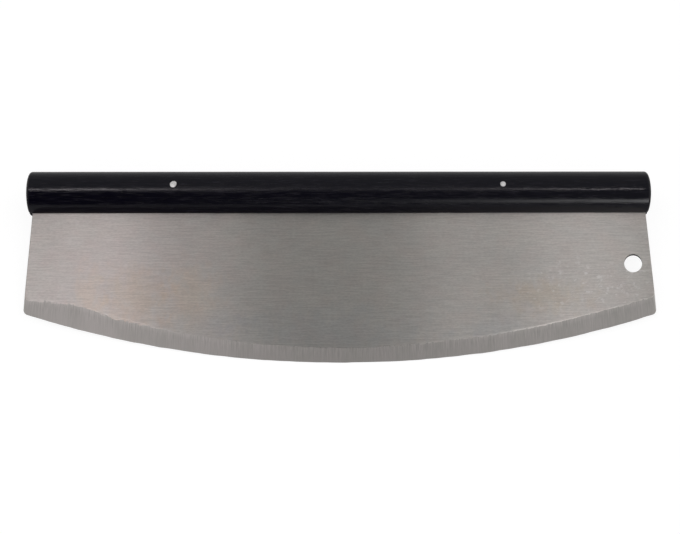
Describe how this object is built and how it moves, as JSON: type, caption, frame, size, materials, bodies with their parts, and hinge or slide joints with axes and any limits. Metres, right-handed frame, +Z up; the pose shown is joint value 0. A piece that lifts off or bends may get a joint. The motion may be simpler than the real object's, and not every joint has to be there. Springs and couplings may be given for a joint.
{
  "type": "pizza cutter",
  "caption": "Rocking pizza cutter: a long curved steel blade with a hanging hole, pinned into the underside of a round black-stained wooden bar handle.",
  "frame": {"origin": "on the table, under the middle of the part's bounding box, with the cutter lying on its bar and on the lowest point of its edge", "axes": "+X along the handle towards the side with the hanging hole, +Y from the cutting edge towards the handle, +Z up; the blade leans 7.0 degrees, so its up direction is (0, 0.99259, 0.12154) and its upper face's normal is (0, -0.12154, 0.99259)"},
  "size_m": [0.35, 0.1122, 0.025],
  "materials": {
    "stained_wood": "black stain under satin lacquer",
    "blade_steel": "brushed lengthwise, edge band ground across",
    "pin_steel": "dressed flush, bright"
  },
  "bodies": {
    "root": {"handle": "stained_wood", "blade": "blade_steel", "rivet_left": "pin_steel", "rivet_right": "pin_steel"}
  },
  "joints": []
}
